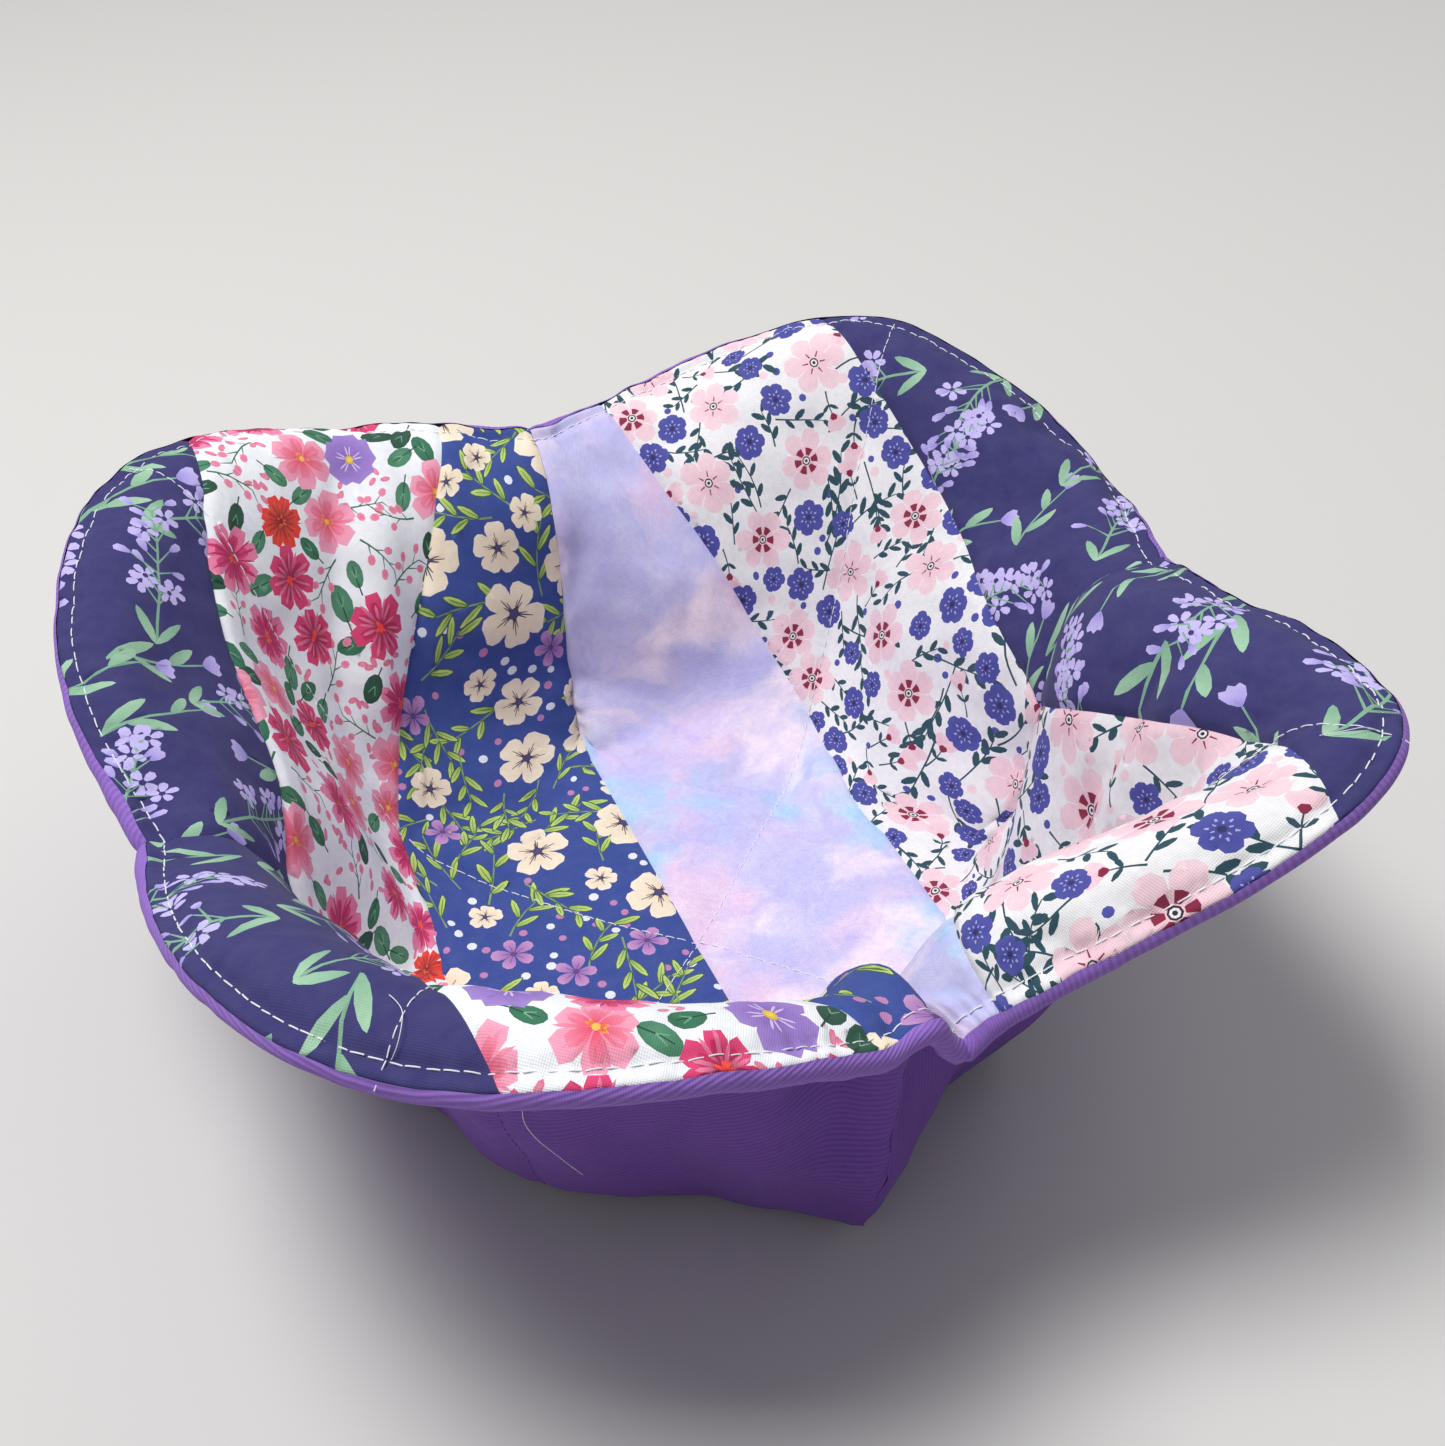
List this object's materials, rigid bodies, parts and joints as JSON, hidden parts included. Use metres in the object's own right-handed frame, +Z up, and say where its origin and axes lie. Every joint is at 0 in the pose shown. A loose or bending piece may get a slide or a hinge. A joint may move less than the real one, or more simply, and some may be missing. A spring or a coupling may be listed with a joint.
{
  "type": "microwave bowl cozy",
  "caption": "Quilted fabric bowl holder with a flat base and soft petal sides, patchwork lining and plain cover.",
  "frame": {"origin": "middle of the flat underside of the base, on the surface the cozy stands on", "axes": "+Z up out of the bowl, +Y along the lining's strips towards the back dart, +X across the strips to the right"},
  "size_m": [0.1907, 0.1906, 0.0819],
  "materials": {
    "purple_twill": "matt cotton twill",
    "cotton_batting": "soft matt wadding",
    "lavender_print": "matt printed cotton, lilac sprigs on indigo",
    "pink_floral_print": "matt printed cotton, pink and violet flowers on white",
    "blue_floral_print": "matt printed cotton, cream flowers on blue",
    "watercolour_print": "matt printed cotton, lilac, pink and sky blue wash",
    "ditsy_floral_print": "matt printed cotton, small pink and blue flowers on white"
  },
  "bodies": {
    "root": {"outer_cover": "purple_twill", "batting": "cotton_batting", "lavender_strip_left": "lavender_print", "pink_floral_strip": "pink_floral_print", "blue_floral_strip": "blue_floral_print", "watercolour_strip": "watercolour_print", "ditsy_floral_strip": "ditsy_floral_print", "lavender_strip_right": "lavender_print"}
  },
  "joints": []
}
